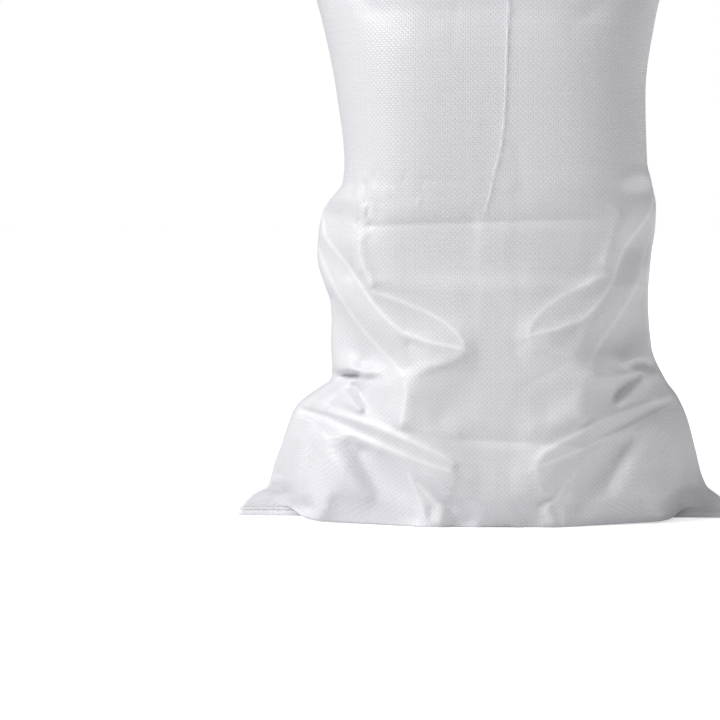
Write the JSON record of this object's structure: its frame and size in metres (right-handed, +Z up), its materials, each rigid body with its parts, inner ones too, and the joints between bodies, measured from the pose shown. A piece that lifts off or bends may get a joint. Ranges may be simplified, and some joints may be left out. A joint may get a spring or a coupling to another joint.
{
  "type": "cement bag",
  "caption": "Filled white woven polypropylene sack for cement, standing upright, with sewn hems at both ends, pointed lower corners and deep corner folds.",
  "frame": {"origin": "On the floor, in the middle of the box round the sack's base", "axes": "+Z up, -Y towards the front that the picture shows, +X to its right along the hems"},
  "size_m": [0.5237, 0.2644, 0.692],
  "materials": {
    "woven_cloth": "white plain-woven polypropylene tape, slightly glossy",
    "sewing_thread": "white spun sewing thread, matt",
    "loose_tape": "white polypropylene tape, split and curled"
  },
  "bodies": {
    "root": {"sack": "woven_cloth", "bottom_needle_thread": "sewing_thread", "bottom_looper_thread": "sewing_thread", "top_needle_thread": "sewing_thread", "top_looper_thread": "sewing_thread", "loose_tape": "loose_tape"}
  },
  "joints": []
}
